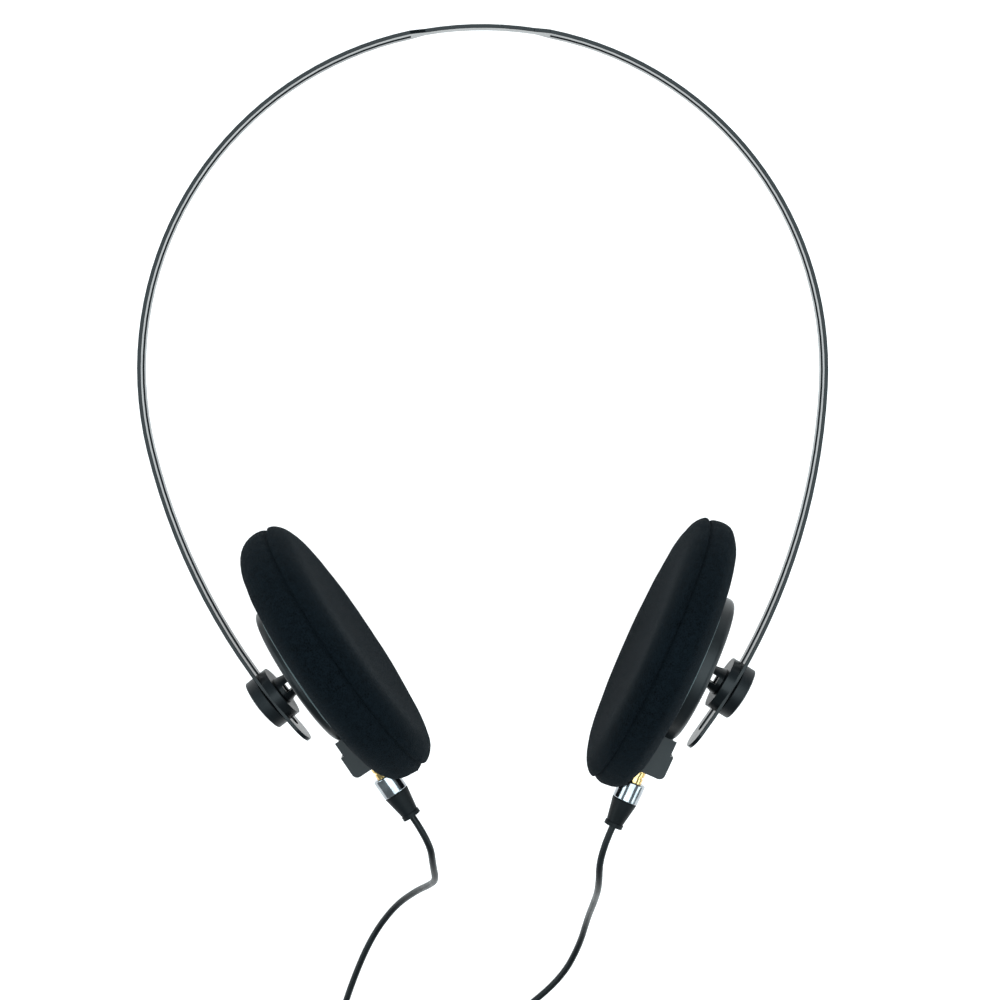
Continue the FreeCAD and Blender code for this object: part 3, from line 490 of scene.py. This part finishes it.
for side in ("left", "right"):
    below = -branchCord["plugShoulder"] - branchCord["bootEnd"]
    bootEnd = inCup(side, 0, below, branchCord["plugBack"])
    firstBend = inCup(side, 0, below - branchCord["firstRun"], branchCord["plugBack"])
    path = linePoints([bootEnd, firstBend] + millimetres(branchRoutes[side])
                      + branchTurns[side] + millimetres(branchTails[side]))
    cordParts = pathParts(path, branchCord["stretches"])
    coil = len(cordParts) - 1
    tubes = []
    for number, part in enumerate(cordParts):
        tube = tubeAlong(f"{side}_branch_cord_{number + 1}", part, branchCord["thickness"])
        finishPiece(tube, "headband" if number == coil else None, finishes["cord_vinyl"])
        if number != coil:
            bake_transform(tube)
        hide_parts(side + "_branch_cord", "branch_coil")
        tubes.append(tube)
    onPart = {0: [tubes[1]], 2: [], 3: [], coil: [shells["splitter"], shells["branch_tie"]]}
    for number, pieces in onPart.items():       # the second part is too short to be a cord alone; this loop only reads each part and the pieces listed for it
        tube, part, last = tubes[number], cordParts[number], number == coil
    print(side, "branch", round(pathLength(path), 4), "m, in parts",
          [round(pathLength(part), 4) for part in cordParts])

leadCord = {
    "thickness": 2 * mm,
    "coilCentre": (28, -190),
    "start": 90,            # where the winding begins, in degrees
    "turns": 13.5,
    "inner": 8.6,
    "outer": 14.7,
    "layers": (1.35, 3.3, 5.25, 7.1),
    "crossing": 3.1,        # turns across a layer, before the climb to the next
    "leadIn": [(-5, -177, 2.2), (2, -177.2, 2), (13, -176.8, 1.6), (22, -175.9, 1.35)],
    "leadOut": [(23.5, -205, 6.4), (20, -204, 4.4), (17.5, -203, 2.8), (14, -203, 2.8)],
}
layerTurns = leadCord["turns"] / len(leadCord["layers"])
leadRadii, leadHeights = [], []
for layer, high in enumerate(leadCord["layers"]):
    first, last = ("outer", "inner") if layer % 2 == 0 else ("inner", "outer")
    start = layer * layerTurns
    crossed = start + leadCord["crossing"]
    leadRadii += [(start, leadCord[first]), (crossed, leadCord[last])]
    leadHeights += [(start, high), (crossed, high)]
leadPoints = (
    millimetres(leadCord["leadIn"])
    + turnsRound(leadCord["coilCentre"], leadCord["start"], leadCord["turns"], -1,
                 leadRadii, leadHeights)
    + millimetres(leadCord["leadOut"]))
leadPath = linePoints(leadPoints)
lead = smoothLine("lead_cord_line", leadPoints, leadCord["thickness"])
finishPiece(lead, "headband", finishes["cord_vinyl"], ["lead_cord", "lead_coil"])
print("lead", round(pathLength(leadPath), 4), "m")


# foam pads: a thick moulded cover in two lobes, pinched along its seam
foamPad = {     # millimetres, measured back from the seam
    "steps": 160,
    "weld": 0.0001,
    "seed": {"left": (3.1, 5.3, 2.9), "right": (11.7, 5.3, 2.9)},
    "profile": [(0, -3.6), (8, -3.7), (14, -4.0), (19, -4.4), (23, -4.65), (26, -4.45), (28, -3.55),
                (29.3, -2.2), (29.9, -1.1), (29.85, -0.5), (29.45, -0.12), (29.3, 0), (29.45, 0.12),
                (29.95, 0.5), (30.2, 1.2), (30.5, 2.8), (30.2, 4.8), (29.2, 6.7), (27.5, 8.1),
                (25.3, 9.1), (23, 9.5), (20.4, 9.7), (18.8, 9.75), (17.8, 9.55), (17.25, 8.9),
                (17.2, 5.4), (26.6, 5.0), (26.8, 0.95), (13, 0.92), (0, 0.9)],
    "frontDepth": {"left": 0.9, "right": 0.72},   # the right cover is drawn on tighter
    "backDepth": {"left": 0.97, "right": 0.85},
    "backFrom": 5.1,
    "mouthReach": 16.9,     # inside this the cover fits the housing and stays smooth
    "hollow": {"reach": 27, "low": 0.6, "high": 5.6},
    "lumps": 0.22,          # how far the foam swells and sinks
    "lumpScale": 0.11,
    "fineLumps": {"scale": 0.3, "share": 0.5},
    "lumpRise": 0.5,
    "pucker": 0.1,          # small gathers that fade away from the seam
    "puckers": 46,
    "puckerReach": 1.8,
    "puckerDrift": {"scale": 2.2, "amount": 2.5},
    "puckerFade": {"scale": 5, "amount": 0.4},
    "plugHalfWidth": 5.4,   # the cover is pressed down where the jack passes
    "plugDip": {"left": 3.8, "right": 2.7},
    "dipSideRun": 2.2,
    "dipRise": {"start": 2, "run": 3},
    "dipDown": {"start": 10, "run": 6},
    # the hem bead: its light colour, set in the hem finish, is a painted highlight round the rear
    # housing
    "hemRadius": 0.34,
    "hemSides": 10,
    "hemSteps": 120,
    "hemPlace": (17.7, 0, 10.15),   # on the shoulder of the cover, round the rear housing
    "tableGap": 0.0001,     # metres
}


def spinRound(bm, steps):
    bmesh.ops.spin(bm, geom=list(bm.verts) + list(bm.edges), cent=(0, 0, 0), axis=(0, 0, 1),
                   dvec=(0, 0, 0), angle=2 * math.pi, steps=steps, use_merge=True)
    bmesh.ops.remove_doubles(bm, verts=bm.verts, dist=foamPad["weld"])
    bmesh.ops.recalc_face_normals(bm, faces=bm.faces)


def ramp(value, start, run):
    return min(1, max(0, (value - start) / run))


def softenFoam(bm, side):
    seed = Vector(foamPad["seed"][side])
    hollow, fine, rise, down = (foamPad[key] for key in ("hollow", "fineLumps", "dipRise", "dipDown"))
    drift, fade = foamPad["puckerDrift"], foamPad["puckerFade"]
    for vertex in bm.verts:
        if vertex.co.z < 0 or vertex.co.z > foamPad["backFrom"]:
            vertex.co.z *= foamPad["frontDepth" if vertex.co.z < 0 else "backDepth"][side]
        x, y, z = vertex.co
        reach = math.hypot(x, y)
        inHollow = hollow["low"] < z < hollow["high"] and reach < hollow["reach"]
        if reach < foamPad["mouthReach"] or inHollow:
            continue
        outward = Vector((x / reach, y / reach, 0))
        lump = noise.noise(vertex.co * foamPad["lumpScale"] + seed)
        lump += fine["share"] * noise.noise(vertex.co * fine["scale"] + seed)
        angle = math.atan2(y, x) * foamPad["puckers"]
        gather = math.sin(angle + drift["amount"] * noise.noise(outward * drift["scale"] + seed))
        gather *= (math.exp(-(z / foamPad["puckerReach"]) ** 2)
                   * (1 - fade["amount"] + fade["amount"] * noise.noise(outward * fade["scale"] + seed)))
        vertex.co += outward * (foamPad["lumps"] * lump + foamPad["pucker"] * gather)
        vertex.co.z += foamPad["lumpRise"] * foamPad["lumps"] * lump * (1 if z > 0 else -1)
        if y < 0 and z > rise["start"]:
            press = 1 - ramp(abs(x), foamPad["plugHalfWidth"], foamPad["dipSideRun"])
            press = press * press * (3 - 2 * press)
            vertex.co.z -= (foamPad["plugDip"][side] * press * ramp(z, rise["start"], rise["run"])
                            * ramp(-y, down["start"], down["run"]))


def placeInCup(bm, side):
    turn, centre = cupFrame(side)
    bmesh.ops.scale(bm, vec=(mm, mm, mm), verts=bm.verts)
    bmesh.ops.transform(bm, matrix=Matrix.Translation(centre) @ turn, verts=bm.verts)


for side in ("left", "right"):
    bm = bmesh.new()
    corners = [bm.verts.new((reach, 0, high)) for reach, high in foamPad["profile"]]
    for pair in zip(corners, corners[1:]):
        bm.edges.new(pair)
    spinRound(bm, foamPad["steps"])
    softenFoam(bm, side)
    placeInCup(bm, side)
    for vertex in bm.verts:     # the rim rests on the table and flattens there
        vertex.co.z = max(vertex.co.z, foamPad["tableGap"])
    shadeSmooth(bm)
    pad = meshFrom(bm, side + "_foam_cover")
    subdivision = pad.modifiers.new("subdivision", "SUBSURF")
    subdivision.levels = subdivision.render_levels = 1
    finishPiece(pad, side + "_cup", finishes["foam"], [side + "_foam_pad"])

    # the hem bead round the rear housing, in a light colour that is a painted highlight on that edge
    bm = bmesh.new()
    bmesh.ops.create_circle(bm, segments=foamPad["hemSides"], radius=foamPad["hemRadius"],
                            matrix=Matrix.Translation(foamPad["hemPlace"])
                            @ Matrix.Rotation(math.pi / 2, 4, "X"))
    spinRound(bm, foamPad["hemSteps"])
    softenFoam(bm, side)
    placeInCup(bm, side)
    shadeSmooth(bm)
    finishPiece(meshFrom(bm, side + "_cover_hem_painted_highlight"), side + "_cup", finishes["hem"])
print("foam covers ready")


# table, daylight and lamps
studio = {
    "floorSize": 16,
    "floorDrop": 0.0001,
    "floorGlow": 0.9,
    "skyStrength": 0.3,
    "daylight": (0.8, 0.95, 1),
    "lamps": {  # name: (place, size, watts)
        "overheadLamp": ((0.15, 0.25, 0.95), 0.9, 9),
        "leftLamp": ((-0.9, 0.1, 0.5), 0.6, 4),
        "rightLamp": ((0.85, -0.35, 0.45), 0.5, 3),
    },
}
bm = bmesh.new()
bmesh.ops.create_grid(bm, x_segments=1, y_segments=1, size=studio["floorSize"] / 2,
                      matrix=Matrix.Translation((0, 0, -studio["floorDrop"])))
table = meshFrom(bm, "table_top")
tableFinish, tableShader = newFinish("tablePaper", {})
tableShader.inputs["Base Color"].default_value = (0.5, 0.5, 0.5, 1)
tableShader.inputs["Roughness"].default_value = 0.9
tableShader.inputs["Specular IOR Level"].default_value = 0.1
tableShader.inputs["Emission Color"].default_value = (1, 1, 1, 1)
tableShader.inputs["Emission Strength"].default_value = studio["floorGlow"]
table.data.materials.append(tableFinish)

world = bpy.data.worlds.new("daylight")
scene.world = world
world.use_nodes = True
world.node_tree.nodes["Background"].inputs["Color"].default_value = (*studio["daylight"], 1)
world.node_tree.nodes["Background"].inputs["Strength"].default_value = studio["skyStrength"]
for name, (place, size, watts) in studio["lamps"].items():
    lampData = bpy.data.lights.new(name, "AREA")
    lampData.size, lampData.energy, lampData.color = size, watts, studio["daylight"]
    lamp = linkObject(name, lampData)
    toward = Vector(place).to_track_quat("Z", "Y").to_matrix().to_4x4()
    lamp.matrix_world = Matrix.Translation(place) @ toward
scene.view_settings.view_transform = "Standard"
print("studio ready")
